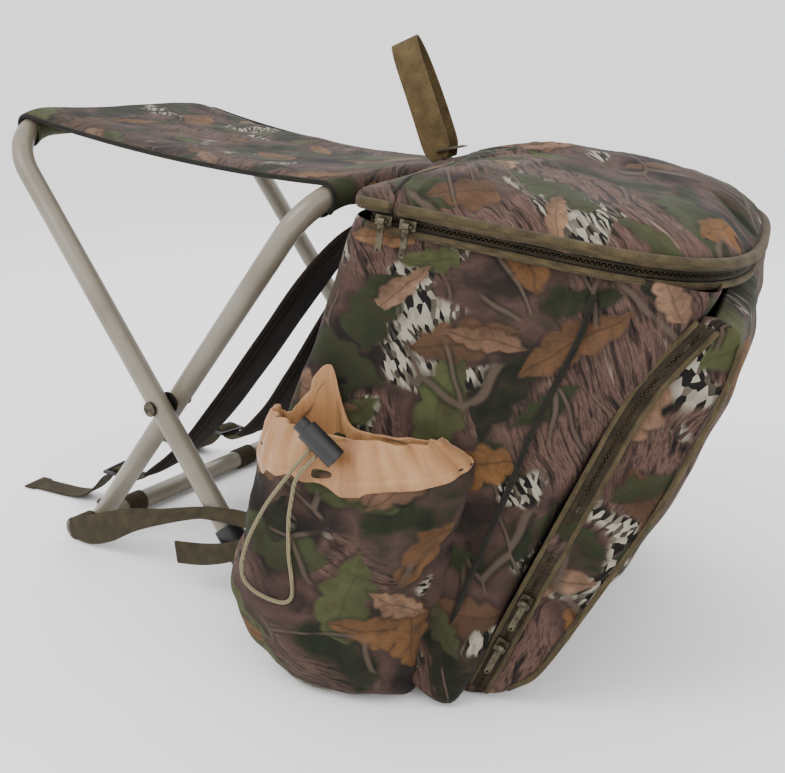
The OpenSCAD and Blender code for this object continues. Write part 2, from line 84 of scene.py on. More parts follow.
# ---- Places: millimetres in a local frame to metres in the part's frame ----
def at_pivot(x, y, z):
    x, y, z = np.broadcast_arrays(*(np.asarray(a, float) for a in (x, y, z)))
    return np.stack([PIVOT[0] + MM * x, PIVOT[1] + MM * y, MM * z], -1)


def at_sack(u, v, w):
    u, v = np.asarray(u, float), np.asarray(v, float)
    c, s = cos(YAW), sin(YAW)
    return at_pivot(SACK_X + u * c - v * s, u * s + v * c, w)


def at_top(u, v, z):
    u, z = np.asarray(u, float), np.asarray(z, float)
    c, s = cos(LID_TILT), sin(LID_TILT)
    return at_sack(u * c + z * s, v, RIM_Z - u * s + z * c)


def to_sack(p):
    """Sack-frame coordinates, in metres, of points in the part's frame."""
    d = np.asarray(p, float) - [PIVOT[0] + MM * SACK_X, PIVOT[1], 0]
    c, s = cos(YAW), sin(YAW)
    return np.stack([d[..., 0] * c + d[..., 1] * s, -d[..., 0] * s + d[..., 1] * c, d[..., 2]], -1)


# ---- Camera, light and floor ----
CAMERA_AT, CAMERA_TURN = (0.6792, -0.7553, 0.4735), (0.606, 0.310, 0.015)  # from the pivot; yaw, pitch, roll
LIGHTS = (  # name, place, power and size
    ("key", (-0.6, -1.5, 1.7), 26, 1.2),
    ("fill", (1.6, -0.9, 0.9), 12, 1.4),
    ("back", (-0.5, 1.5, 1.6), 14, 1.4))


def build_stage():
    camera = bpy.data.objects.new("camera", bpy.data.cameras.new("camera"))
    bpy.context.scene.collection.objects.link(camera)
    bpy.context.scene.camera = camera
    camera.data.lens, camera.data.sensor_width = 46.2, 36
    yaw, pitch, roll = CAMERA_TURN
    ahead = Vector((-sin(yaw) * cos(pitch), cos(yaw) * cos(pitch), -sin(pitch)))
    right = Vector((cos(yaw), sin(yaw), 0))
    up = right.cross(ahead)
    turned_right = cos(roll) * right + sin(roll) * up
    turned_up = -sin(roll) * right + cos(roll) * up
    turn = Matrix((turned_right, turned_up, -ahead)).transposed().to_4x4()
    camera.matrix_world = Matrix.Translation(Vector((PIVOT[0], PIVOT[1], 0)) + Vector(CAMERA_AT)) @ turn
    camera.data.clip_start = 0.01

    bpy.ops.mesh.primitive_plane_add(size=12, location=(0, 0, 0))
    floor = bpy.context.object
    floor.name = "floor"
    material = bpy.data.materials.new("floor_paint")
    material.use_nodes = True
    shader = material.node_tree.nodes["Principled BSDF"]
    shader.inputs["Base Color"].default_value = (0.95, 0.95, 0.95, 1)
    shader.inputs["Roughness"].default_value = 0.9
    floor.data.materials.append(material)

    world = bpy.data.worlds.new("studio")
    bpy.context.scene.world = world
    world.use_nodes = True
    world.node_tree.nodes["Background"].inputs[0].default_value = (1, 1, 1, 1)
    world.node_tree.nodes["Background"].inputs[1].default_value = 1.6
    for name, place, power, size in LIGHTS:
        light = bpy.data.objects.new(name, bpy.data.lights.new(name, "AREA"))
        bpy.context.scene.collection.objects.link(light)
        light.data.energy, light.data.size = power, size
        light.location = place
        light.rotation_euler = (Vector((0, 0, 0.22)) - Vector(place)).to_track_quat("-Z", "Y").to_euler()


# ---- Materials ----
DARKEN = 0.56


def colour(r, g, b):
    """Linear RGBA of a display colour given from 0 to 255, darkened for the bright studio."""
    linear = (((c / 255 + 0.055) / 1.055) ** 2.4 if c > 10 else c / 255 / 12.92 for c in (r, g, b))
    return tuple(DARKEN * c for c in linear) + (1,)


class Net:
    """A material's node tree, with short calls for the nodes used here."""

    def __init__(self, name):
        self.material = bpy.data.materials.new(name)
        self.material.use_nodes = True
        self.tree = self.material.node_tree
        self.tree.nodes.clear()

    def add(self, kind, inputs=None, **settings):
        node = self.tree.nodes.new("ShaderNode" + kind)
        for key, value in settings.items():
            setattr(node, key, value)
        for key, value in (inputs or {}).items():
            if isinstance(value, bpy.types.NodeSocket):
                self.tree.links.new(value, node.inputs[key])
            else:
                node.inputs[key].default_value = value
        return node

    def math(self, operation, a, b=0):
        return self.add("Math", {0: a, 1: b}, operation=operation).outputs[0]

    def times(self, a, b):
        return self.math("MULTIPLY", a, b)

    def plus(self, a, b):
        return self.math("ADD", a, b)

    def vector(self, operation, a, b):
        return self.add("VectorMath", {0: a, 1: b}, operation=operation).outputs[0]

    def scaled(self, v, amount):
        return self.vector("MULTIPLY", v, amount)

    def turned(self, v, angle):
        return self.add("VectorRotate", {"Vector": v, "Angle": angle}, rotation_type="Z_AXIS").outputs[0]

    def mix(self, factor, a, b, blend="MIX"):
        return self.add("Mix", {0: factor, 6: a, 7: b}, data_type="RGBA", blend_type=blend).outputs[2]

    def step(self, value, low, high, start=0, end=1):
        """Smooth rise from start to end as value goes from low to high."""
        return self.add("MapRange", {0: value, 1: low, 2: high, 3: start, 4: end},
                        interpolation_type="SMOOTHSTEP").outputs[0]

    def stain(self, tint, value, low, high, amount, rgb):
        """Another colour over the tint, by up to amount, where the value is high."""
        return self.mix(self.step(value, low, high, 0, amount), tint, colour(*rgb))

    def noise(self, at, scale, detail=3, rough=0.55):
        inputs = {"Vector": at, "Scale": scale, "Detail": detail, "Roughness": rough}
        return self.add("TexNoise", inputs).outputs[0]

    def noise_colour(self, at, scale):
        return self.add("TexNoise", {"Vector": at, "Scale": scale, "Detail": 2.0}).outputs[1]

    def wander(self, at, scale, amount):
        """The coordinate bent by smooth noise."""
        bend = self.vector("SUBTRACT", self.noise_colour(at, scale), (0.5, 0.5, 0.5))
        return self.vector("ADD", at, self.scaled(bend, (amount, amount, 0)))

    def cells(self, at, randomness=1, feature="F1"):
        inputs = {"Vector": at, "Scale": 1, "Randomness": randomness}
        return self.add("TexVoronoi", inputs, voronoi_dimensions="2D", feature=feature).outputs

    def wave(self, value, frequency):
        """A row of rounded humps from 0 to 1."""
        return self.math("ABSOLUTE", self.math("SINE", self.times(value, frequency)))

    def ramp(self, value, stops):
        node = self.add("ValToRGB", {0: value})
        band = node.color_ramp
        while len(band.elements) < len(stops):
            band.elements.new(0.5)
        for element, (place, tint) in zip(band.elements, stops):
            element.position, element.color = place, colour(*tint)
        return node.outputs[0]

    def bump(self, height, strength, distance, under=None):
        inputs = {"Height": height, "Strength": strength, "Distance": distance}
        if under is not None:
            inputs["Normal"] = under
        return self.add("Bump", inputs).outputs[0]

    def shade(self, tint, roughness, normal=None, metallic=0, sheen=0, specular=0.5, coat=0):
        inputs = {"Base Color": tint, "Roughness": roughness, "Metallic": metallic,
                  "Specular IOR Level": specular, "Sheen Weight": sheen, "Coat Weight": coat}
        if normal is not None:
            inputs["Normal"] = normal
        shader = self.add("BsdfPrincipled", inputs)
        output = self.add("OutputMaterial")
        self.tree.links.new(shader.outputs[0], output.inputs[0])
        return self.material

    def on_cloth(self):
        """Flat coordinate of the fabric, in metres."""
        return self.add("Attribute", attribute_name="cloth", attribute_type="GEOMETRY").outputs["Vector"]

    def on_object(self):
        return self.add("TexCoord").outputs["Object"]


def leaves(net, at, under, cell, shift, length, width, palette, share, vein):
    """Scatters lobed leaves over a colour, one to a cell, each turned its own way."""
    place = net.vector("ADD", net.scaled(at, (1 / cell, 1 / cell, 0)), shift)
    place = net.wander(place, 2.3, 0.22)
    cells = net.cells(place, 0.85)
    pick = net.add("SeparateColor", {0: cells["Color"]}).outputs
    offset = net.vector("SUBTRACT", place, cells["Position"])
    axes = net.add("SeparateXYZ", {0: net.turned(offset, net.times(pick[0], 6.283))}).outputs
    along = net.math("DIVIDE", axes[0], length)
    away = net.math("ABSOLUTE", axes[1])
    lobes = net.wave(axes[0], 13)
    belly = net.math("SUBTRACT", 1, net.times(along, along))
    edge = net.times(net.times(belly, width), net.plus(0.72, net.times(lobes, 0.28)))
    inside = net.math("SUBTRACT", edge, away)
    shown = net.math("GREATER_THAN", pick[2], 1 - share)
    mask = net.times(net.step(inside, -0.01, 0.045), shown)
    shadow = net.times(net.step(inside, -0.09, 0), shown)
    ribs = net.wave(net.plus(axes[0], away), 26)
    veins = net.math("MAXIMUM", net.step(ribs, 0.16, 0.02), net.step(away, 0.022, 0.006))
    tint = net.ramp(pick[1], palette)
    mottle = net.noise(place, 7, 4)
    tint = net.stain(tint, mottle, 0.35, 0.75, 0.55, (70, 56, 42))
    tint = net.mix(net.times(veins, vein), tint, colour(52, 42, 30))
    lit = net.stain(tint, axes[1], -0.1, 0.1, 0.25, (28, 26, 20))
    darkened = net.mix(net.times(shadow, 0.35), under, colour(24, 22, 18))
    return net.mix(mask, darkened, lit)


def camo(name, shift, turn, bark_more, light):
    """A generic woodland print: bark, blurred foliage, tan and green leaves, twigs; a light above 1 brightens
    the whole print as painted light.
    """
    net = Net(name)
    flat = net.on_cloth()
    at = net.turned(net.vector("ADD", flat, shift), turn)
    bent = net.wander(at, 9, 0.05)
    ground = net.ramp(net.noise(bent, 11, 5), [
        (0.30, (20, 20, 16)), (0.42, (48, 38, 34)), (0.50, (88, 66, 60)), (0.60, (40, 46, 28)),
        (0.74, (22, 28, 18))])
    grain = net.noise(net.scaled(bent, (30, 210, 1)), 1, 6, 0.62)
    bark = net.ramp(grain, [
        (0.34, (22, 19, 17)), (0.44, (66, 50, 44)), (0.52, (112, 86, 76)),
        (0.60, (70, 54, 50)), (0.72, (150, 126, 112))])
    bark_here = net.step(net.noise(at, 6.5, 2), 0.50 - bark_more, 0.56 - bark_more)
    tint = net.mix(bark_here, ground, bark)
    chips = net.cells(net.scaled(bent, (150, 420, 0)))["Color"]
    speck = net.ramp(net.add("SeparateColor", {0: chips}).outputs[0], [
        (0.30, (22, 21, 18)), (0.50, (96, 88, 76)), (0.72, (178, 170, 152))])
    speck_here = net.step(net.noise(net.vector("ADD", at, (3.1, 1.7, 0)), 10, 2), 0.58, 0.61)
    tint = net.mix(speck_here, tint, speck)
    green = [(0, (26, 34, 22)), (0.35, (50, 60, 36)), (0.7, (88, 94, 58)), (1, (34, 42, 28))]
    brown = [(0, (122, 92, 72)), (0.35, (156, 122, 98)), (0.6, (140, 98, 58)), (1, (92, 68, 54))]
    for layer in (  # cell in metres, shift, length, width, palette, share of cells, strength of the veins
            (0.085, (1.3, 4.2, 0), 0.62, 0.24, green, 0.62, 0.2),
            (0.070, (7.7, 2.9, 0), 0.58, 0.26, brown, 0.40, 0.4),
            (0.046, (3.4, 9.1, 0), 0.60, 0.22, green, 0.34, 0.3),
            (0.050, (5.5, 6.3, 0), 0.60, 0.20, brown, 0.26, 0.4)):
        tint = leaves(net, at, tint, *layer)
    twig_at = net.vector("ADD", net.scaled(bent, (9, 26, 0)),
                         net.scaled(net.noise_colour(at, 5), (1.4, 1.4, 0)))
    twigs = net.cells(twig_at, 1, "DISTANCE_TO_EDGE")["Distance"]
    broken = net.step(net.noise(at, 16, 2), 0.50, 0.58)
    tint = net.mix(net.times(net.step(twigs, 0.040, 0.012), broken), tint, colour(124, 106, 92))
    dark_twigs = net.times(net.step(twigs, 0.085, 0.05), broken)
    tint = net.mix(net.times(dark_twigs, 0.5), tint, colour(26, 22, 18))
    wear = net.noise(at, 40, 4)
    tint = net.stain(tint, wear, 0.3, 0.8, 0.22, (20, 19, 16))
    # a light above 1 brightens this copy of the print: painted light, used for the top that faces the lamps
    if light != 1:
        tint = net.mix(1, tint, (light, light, light, 1), "MULTIPLY")
    weave = net.cells(net.scaled(flat, (900, 900, 0)), 0.15)["Distance"]
    creases = net.noise(flat, 34, 4, 0.5)
    normal = net.bump(weave, 0.25, 0.0004, net.bump(creases, 0.55, 0.004))
    return net.shade(tint, net.step(wear, 0.2, 0.9, 0.74, 0.92), normal, sheen=0.02, specular=0.14)


def webbing(name, light, dark, rib):
    """Woven tape: ribs across it, a herringbone along it and fuzzy variation."""
    net = Net(name)
    flat = net.on_cloth()
    axes = net.add("SeparateXYZ", {0: flat}).outputs
    across = net.math("SINE", net.times(axes[0], 2 * pi / rib))
    slant = net.plus(axes[1], net.times(net.wave(axes[0], 700), 0.0006))
    along = net.math("SINE", net.times(slant, 2 * pi / 0.0016))
    yarn = net.times(across, along)
    fuzz = net.noise(flat, 60, 5)
    shade = net.plus(net.times(yarn, 0.18), fuzz)
    mixed = net.mix(net.step(shade, 0.25, 0.8), colour(*dark), colour(*light))
    return net.shade(mixed, 0.85, net.bump(yarn, 0.5, 0.0005), sheen=0.05, specular=0.15)


def painted_tube():
    net = Net("taupe_paint")
    at = net.on_object()
    fleck = net.noise(at, 420, 3)
    patch = net.noise(at, 14, 4)
    tint = net.mix(net.step(patch, 0.3, 0.75), colour(158, 150, 132), colour(136, 126, 108))
    tint = net.stain(tint, fleck, 0.62, 0.72, 0.4, (110, 100, 84))
    scuffs = net.noise(net.scaled(at, (1, 1, 9)), 60, 6, 0.7)
    tint = net.stain(tint, scuffs, 0.70, 0.76, 0.6, (96, 88, 76))
    return net.shade(tint, net.step(patch, 0.3, 0.8, 0.34, 0.5), net.bump(fleck, 0.15, 0.0003), coat=0.15)


def plastic(name, rgb, rough):
    net = Net(name)
    at = net.on_object()
    grain = net.noise(at, 900, 2)
    dust = net.noise(at, 45, 4)
    tint = net.stain(colour(*rgb), dust, 0.5, 0.8, 0.35, (70, 66, 58))
    return net.shade(tint, net.step(dust, 0.3, 0.8, rough, rough + 0.2), net.bump(grain, 0.25, 0.0002))


def metal(name, rgb, rough):
    net = Net(name)
    tarnish = net.noise(net.on_object(), 160, 4)
    tint = net.stain(colour(*rgb), tarnish, 0.35, 0.75, 1, (58, 52, 42))
    dull = net.step(tarnish, 0.3, 0.8, rough, rough + 0.25)
    return net.shade(tint, dull, net.bump(tarnish, 0.2, 0.0002), metallic=0.9)


def nylon():
    """Thin orange-tan lining cloth with fine gathers, with painted shade in their hollows and painted
    highlight on their ridges.
    """
    net = Net("tan_nylon")
    flat = net.on_cloth()
    gathers = net.noise(net.scaled(flat, (70, 16, 0)), 1, 4)
    soft = net.noise(flat, 24, 3)
    # colour follows the gathers' height: painted shade in their hollows, painted highlight on their ridges,
    # mixed with soft tone that differs at random
    tint = net.ramp(net.plus(net.times(gathers, 0.6), net.times(soft, 0.4)), [
        (0.32, (142, 92, 50)), (0.5, (190, 136, 84)), (0.68, (214, 164, 112))])
    ripstop = net.cells(net.scaled(flat, (700, 700, 0)), 0.1)["Distance"]
    normal = net.bump(ripstop, 0.2, 0.0003, net.bump(gathers, 0.7, 0.003))
    return net.shade(tint, 0.5, normal, sheen=0.15, specular=0.45)


def air_mesh():
    """Black padded strap cloth with a spacer-mesh surface."""
    net = Net("black_pad")
    flat = net.on_cloth()
    holes = net.cells(net.scaled(flat, (420, 420, 0)), 0.35)["Distance"]
    fade = net.noise(flat, 18, 4)
    tint = net.mix(net.step(holes, 0.2, 0.5), colour(20, 17, 15), colour(50, 40, 33))
    tint = net.stain(tint, fade, 0.4, 0.8, 0.5, (66, 50, 40))
    normal = net.bump(holes, 0.5, 0.0008, net.bump(fade, 0.4, 0.004))
    return net.shade(tint, 0.88, normal, sheen=0.03, specular=0.1)


def cord_braid():
    net = Net("cord_braid")
    at = net.on_object()
    spiral = net.add("TexWave", {"Vector": at, "Scale": 260, "Distortion": 2.0}).outputs[1]
    tint = net.mix(spiral, colour(112, 100, 68), colour(168, 156, 118))
    return net.shade(tint, 0.8, net.bump(spiral, 0.4, 0.0005), sheen=0.2, specular=0.2)


# ---- Mesh making ----
def grid(name, points, ring=False, ends=False):
    """A sheet, or with ring a tube, through rows of points.

    Its cloth coordinate is the distance along each way.
    """
    points = np.asarray(points, float)
    n, m = points.shape[:2]
    closed = np.concatenate([points, points[:, :1]], 1) if ring else points
    along = np.linalg.norm(np.diff(closed, axis=1), axis=2).mean(0)
    down = np.linalg.norm(np.diff(points, axis=0), axis=2).mean(1)
    a, b = np.concatenate([[0], along.cumsum()])[:m], np.concatenate([[0], down.cumsum()])
    faces = [(i * m + j, i * m + (j + 1) % m, (i + 1) * m + (j + 1) % m, (i + 1) * m + j)
             for i in range(n - 1) for j in range(m if ring else m - 1)]
    if ends:
        faces += [tuple(range(m))[::-1], tuple(range((n - 1) * m, n * m))]
    mesh = bpy.data.meshes.new(name)
    mesh.from_pydata(points.reshape(-1, 3).tolist(), [], faces)
    obj = new_object(name, mesh)
    set_flat(obj, np.tile(a, n), np.repeat(b, m))
    return obj


def new_object(name, mesh):
    obj = bpy.data.objects.new(name, mesh)
    bpy.context.scene.collection.objects.link(obj)
    level = bmesh.new()
    level.from_mesh(mesh)
    bmesh.ops.recalc_face_normals(level, faces=level.faces)
    level.to_mesh(mesh)
    level.free()
    return obj


def points_of(obj, kind="co"):
    """The places of a mesh's points, or their normals."""
    values = np.zeros(len(obj.data.vertices) * 3, np.float32)
    obj.data.vertices.foreach_get(kind, values)
    return values.reshape(-1, 3).astype(float)


def set_points(obj, co):
    obj.data.vertices.foreach_set("co", np.asarray(co, np.float32).ravel())
    obj.data.update()


def keep_above(obj, height):
    """Lifts the points that lie lower than height, in metres."""
    co = points_of(obj)
    co[:, 2] = np.maximum(co[:, 2], height)
    set_points(obj, co)


def set_flat(obj, across, along):
    """Sets the cloth coordinate, two distances in metres at each point."""
    mesh = obj.data
    layer = mesh.attributes.get("cloth") or mesh.attributes.new("cloth", "FLOAT_VECTOR", "POINT")
    flat = np.stack([across, along, np.zeros(len(across))], -1)
    layer.data.foreach_set("vector", flat.astype(np.float32).ravel())


def joined(name, objs):
    bpy.ops.object.select_all(action="DESELECT")
    for o in objs:
        o.select_set(True)
    bpy.context.view_layer.objects.active = objs[0]
    bpy.ops.object.join()
    objs[0].name = name
    return objs[0]


def settle(obj, thick, level, bevel=0.0):
    """Applies thickness and smoothing, so that the mesh is final."""
    if thick:
        m = obj.modifiers.new("thick", "SOLIDIFY")
        m.thickness, m.offset = thick * MM, 0
    if bevel:
        m = obj.modifiers.new("edge", "BEVEL")
        m.width, m.segments, m.limit_method = bevel * MM, 2, "ANGLE"
    if level:
        m = obj.modifiers.new("smooth", "SUBSURF")
        m.levels = m.render_levels = level
    apply_modifiers(obj)
    obj.data.polygons.foreach_set("use_smooth", [True] * len(obj.data.polygons))
    return obj


def apply_modifiers(obj):
    graph = bpy.context.evaluated_depsgraph_get()
    mesh = bpy.data.meshes.new_from_object(obj.evaluated_get(graph))
    obj.modifiers.clear()
    old, obj.data = obj.data, mesh
    bpy.data.meshes.remove(old)


def cover_with(obj, key):
    obj.data.materials.clear()
    obj.data.materials.append(MATERIALS[key])


def place(obj, key, body, nodes, slot):
    """Says what a finished piece is made of, which body it rides on and which CAD nodes it replaces."""
    cover_with(obj, key)
    if body:
        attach(obj, body)
    if nodes:
        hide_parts(*nodes)
    return obj


def ripples(co, size, depth, seed, stretch=(1, 1, 1)):
    """Signed heights of soft folds at the points, from smooth noise of the given size in metres."""
    s = np.asarray(stretch, float) / size
    large, small = Vector((seed, seed * 1.7, -seed)), Vector((seed * 2, 0, seed))
    return depth * np.array([
        noise.noise(Vector(p * s) + large) + 0.5 * noise.noise(Vector(p * s * 2.1) + small) for p in co])


def crumple(obj, *layers):
    """Moves a mesh along its normals by folds of several sizes.

    A layer is a size in metres, a depth in millimetres, a seed and, for folds that run one way, a stretch.
    """
    co = points_of(obj)
    height = sum(ripples(co, size, depth * MM, *rest) for size, depth, *rest in layers)
    set_points(obj, co + points_of(obj, "normal") * height[:, None])


CLOTH_FRAMES = 20


def puff(obj, held, cap, pressure, shrink):
    """Cloth simulation: the sheet swells between its held points, by at most cap millimetres."""
    start = points_of(obj)
    pins = obj.vertex_groups.new(name="held")
    pins.add([int(i) for i in np.nonzero(held)[0]], 1.0, "REPLACE")
    cloth = obj.modifiers.new("cloth", "CLOTH")
    cloth.point_cache.frame_start, cloth.point_cache.frame_end = 1, CLOTH_FRAMES
    fabric = cloth.settings
    fabric.quality, fabric.mass, fabric.bending_stiffness = 6, 0.2, 0.3
    fabric.tension_stiffness = fabric.compression_stiffness = 12
    fabric.vertex_group_mass = "held"
    fabric.use_pressure, fabric.uniform_pressure_force = True, pressure
    fabric.shrink_min, fabric.effector_weights.gravity = shrink, 0
    scene = bpy.context.scene
    for f in range(1, CLOTH_FRAMES + 1):
        scene.frame_set(f)
    d = points_of(obj.evaluated_get(bpy.context.evaluated_depsgraph_get())) - start
    length = np.linalg.norm(d, axis=1, keepdims=True)
    d *= np.minimum(1, cap * MM / np.maximum(length, 1e-9))
    obj.modifiers.clear()
    obj.vertex_groups.clear()
    set_points(obj, start + d)
    scene.frame_set(1)


def unit(v):
    return v / np.linalg.norm(v, axis=-1, keepdims=True)


def rounded(x, power):
    """A power of a sine or cosine that keeps its sign: it squares a circle off into a superellipse."""
    return np.sign(x) * np.abs(x) ** power


def run_length(points):
    """Distance along a path at each of its points."""
    return np.concatenate([[0], np.linalg.norm(np.diff(points, axis=0), axis=1).cumsum()])


def sample(points, at):
    """Points at the given distances along a path."""
    gone = run_length(points)
    return np.stack([np.interp(at, gone, points[:, k]) for k in range(points.shape[1])], -1)


def even(points, n, closed=False):
    """n points evenly spaced along a path, without its end where it closes on its start."""
    return sample(points, np.linspace(0, run_length(points)[-1], n, endpoint=not closed))


def curve_through(points, n):
    """n points evenly spaced along a smooth curve through the given ones."""
    p = np.asarray(points, float)
    p = np.concatenate([[2 * p[0] - p[1]], p, [2 * p[-1] - p[-2]]])
    out = []
    for i in range(1, len(p) - 2):
        a, b, c, d = p[i - 1:i + 3]
        square, cube = 2 * a - 5 * b + 4 * c - d, 3 * b - a - 3 * c + d
        for t in np.linspace(0, 1, 12, endpoint=False):
            out.append(0.5 * (2 * b + (c - a) * t + square * t ** 2 + cube * t ** 3))
    return even(np.array(out + [p[-2]]), n)


def tube(name, path, radius, sides):
    """A round cord along points in metres."""
    path = np.asarray(path, float)
    run = unit(np.gradient(path, axis=0))
    side = unit(np.cross(run, [0.13, 0.21, 0.97]))
    rise = np.cross(side, run)
    a = np.linspace(0, 2 * pi, sides, endpoint=False)
    c, s = np.cos(a)[None, :, None], np.sin(a)[None, :, None]
    rows = path[:, None] + radius * MM * (c * side[:, None] + s * rise[:, None])
    return grid(name, rows, ring=True, ends=True)


def piping(name, paths, radius, sides, key, body, nodes=(), slot="olive_web"):
    """One finished piece of round cords along paths in metres."""
    cords = [tube(name, path, radius, sides) for path in paths]
    cord = joined(name, cords) if len(cords) > 1 else cords[0]
    return place(settle(cord, 0, 1), key, body, nodes, slot)


def tape(name, path, across, width, thick):
    """A flat band along points in metres; across gives its width direction at each point."""
    path = np.asarray(path, float)
    across = unit(np.broadcast_to(np.asarray(across, float), path.shape))
    w = np.broadcast_to(np.asarray(width, float), (len(path),))[:, None, None] * MM / 2
    s = np.array([-1, -0.94, -0.5, 0, 0.5, 0.94, 1])
    return settle(grid(name, path[:, None] + w * s[None, :, None] * across[:, None]), thick, 1)


# ---- Seat sling ----
SLEEVE_R = 12.6  # the cloth's distance from the middle of the bar it wraps


def seat_profile(s):
    """Side section of the sling at s from -1 near to 1 far: a wrap, the span and the other wrap."""
    wraps, sides = [], []
    for bar, lean, half, straight, bend, first, last in (
            (OUTER_BAR, -HALF_ANGLE, 128, 95, 58, -250, 45), (INNER_BAR, HALF_ANGLE, 112, 83, 48, -33, 250)):
        y = s * half
        past = max(0.0, abs(y) - straight) / bend
        level = sqrt(1 - past ** 2)
        up, out = np.array([sin(lean), cos(lean)]), np.array([cos(lean), -sin(lean)])
        middle = bar - up * bend * (1 - level)
        wraps.append([(y, middle + SLEEVE_R * (sin(a) * out + cos(a) / level * up))
                      for a in np.radians(np.linspace(first, last, 28))])
        sides.append(y)
    a, b = wraps[0][-1][1], wraps[1][0][1]
    sag = 9 + 3 * (1 - s * s)
    span = []
    for t in np.linspace(0, 1, 42)[1:-1]:
        y = sides[0] * (1 - t) + sides[1] * t - s * 5 * sin(pi * t)
        span.append((y, a * (1 - t) + b * t - [0, 4 * sag * t * (1 - t)]))
    return wraps[0], span, wraps[1]


def build_seat():
    sheet = []
    for s in np.linspace(-1, 1, 41):
        wrap0, span, wrap1 = seat_profile(s)
        sheet.append([at_pivot(p[0], y, p[1]) for y, p in wrap0 + span + wrap1])
    panel = grid("seat_sling", sheet)
    crumple(panel, (0.11, 2.2, 4.0), (0.045, 1.0, 8.0, (1.6, 0.8, 1)))
    settle(panel, 1.4, 1)
    co = points_of(panel)
    set_flat(panel, co[:, 0] + 0.3, co[:, 1])
    place(panel, "camo_seat", None, ("seat_panel", "seat_sleeve_outer", "seat_sleeve_inner"), "camo_cloth")
    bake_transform(panel)
    for side, name in SIDES:
        wrap0, span, wrap1 = seat_profile(side)
        line = [at_pivot(p[0], y + side * 0.3, p[1]) for y, p in wrap0[12:] + span + wrap1[:14]]
        bind = piping(f"seat_edge_{name}", [curve_through(line, 90)], 2.5, 10, "seam", None,
                      (f"seat_binding_{name}",))
        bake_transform(bind)


# ---- Sack ----
HEEL, FOOT, KNEE = (-106, 76), (95, 1.5), (184, 221)
FRONT_TOP, LIP, REAR_TOP = (246, 322), (252, 338), (0, 371)
FRAME_CLEAR, FRAME_HALF = 18.5, 0.172  # kept to the frames' planes, in mm; the frames' half width, in metres


def frame_limit(z):
    """Least x, from the pivot, that the sack may reach at height z without meeting the frames."""
    return FRAME_CLEAR / cos(HALF_ANGLE) + abs(z - PIVOT_Z) * tan(HALF_ANGLE)


def keep_off_frames(points):
    p = points.reshape(-1, 3)
    for q in p:
        limit = PIVOT[0] + MM * frame_limit(q[2] / MM)
        if q[0] < limit and abs(q[1] - PIVOT[1]) < FRAME_HALF:
            q[0] = limit
    return p.reshape(points.shape)


def rounded_ring(length, half, corner):
    """Closed outline of a rounded rectangle from 0 to length by -half to half."""
    c = min(corner, length / 2.2, half / 2.2)
    pts = []
    for cx, cy, first in (
            (c, c - half, 180), (length - c, c - half, 270), (length - c, half - c, 0), (c, half - c, 90)):
        for a in np.radians(np.linspace(first, first + 90, 7)):
            pts.append((cx + c * cos(a), cy + c * sin(a)))
    return even(np.array(pts + [pts[0]]), 80, closed=True)


def build_sack():
    front = np.array([FOOT, KNEE, FRONT_TOP, LIP], float)
    length = run_length(front)[-1]
    rows = []
    for t in np.linspace(0, 1, 34):
        a = np.array(HEEL) * (1 - t) + np.array(REAR_TOP) * t
        b = sample(front, t * length)
        ring = rounded_ring(np.linalg.norm(b - a), HALF_W - 4, 11)
        d = unit(b - a)
        full = sin(pi * min(1, 0.08 + 0.95 * t)) * 7
        x = ring[:, 0] / ring[:, 0].max()
        v = ring[:, 1] + np.sign(ring[:, 1]) * full * np.sin(pi * x) * (np.abs(ring[:, 1]) > HALF_W - 12)
        low = max(0, 1 - t / 0.22) * np.clip((x - 0.62) / 0.3, 0, 1)
        v = v - 25 * low * (ring[:, 1] < 0)
        rows.append(at_sack(a[0] + ring[:, 0] * d[0], v, a[1] + ring[:, 0] * d[1]))
    centre = rows[0].mean(0)
    base = [centre + (rows[0] - centre) * s for s in (0.02, 0.3, 0.6, 0.85, 0.96)]
    body = grid("sack_shell", keep_off_frames(np.array(base + rows)), ring=True)
    crumple(body, (0.12, 5.0, 1.0), (0.05, 2.6, 5.0, (1.6, 1.6, 0.7)), (0.022, 1.0, 2.0))
    keep_above(body, 0.0015)
    set_points(body, keep_off_frames(points_of(body)))
    settle(body, 2.0, 1)
    place(body, "camo_body", ROOT, ("sack_body",), "camo_cloth")
    path = [(70, 14), (84, 60), (104, 120), (128, 190), (141, 232), (168, 300), (176, 332)]
    for side, name in SIDES:
        line = [at_sack(u, side * (HALF_W + 4.5 * sin(pi * min(1, w / 360))), w) for u, w in path]
        piping(f"side_seam_{name}", [curve_through(line, 60)], 2.6, 8, "seam", ROOT,
               (f"side_piping_{name}",))


def lid_outline(d, n=120):
    """The top's outline drawn in by d, from the near rear corner round the front to the far one."""
    b = HALF_W - d
    t = np.radians(np.linspace(-90, 90, n))
    u = LID_STRAIGHT + (LID_DEPTH - LID_STRAIGHT - d) * rounded(np.cos(t), 2 / LID_SQUARENESS)
    arc = np.stack([u, b * rounded(np.sin(t), 2 / LID_SQUARENESS)], -1)
    near = np.stack([np.linspace(14 + d, LID_STRAIGHT, 40, endpoint=False), np.full(40, -b)], -1)
    return even(np.concatenate([[[d, 14 - b]], near, arc, near[::-1] * [1, -1], [[d, b - 14]]]), n)


# The top's plain section: share of the outline and height above the rim
DOME = ((1.0, -0.5), (1.004, 5), (1.0, 11), (0.985, 17), (0.955, 23), (0.90, 29.5), (0.82, 35), (0.71, 39.5),
        (0.58, 42.8), (0.44, 45), (0.30, 46.2), (0.16, 46.8), (0.05, 47), (0.005, 47))


DOME_CENTRE = 128


def top_height(z, u, v):
    """Height of the top where its plain section has z, held down beside its middle line and near the rear."""
    fall = 3 + 9 * (1 - np.exp(-(v / 45) ** 2))
    rise = np.where(u < 46, 16 + 0.4 * u, 34.4 + 0.22 * (u - 46))
    return np.minimum(z - fall * np.clip(z / 30, 0, 1), np.maximum(rise - 0.6 * fall, 11))


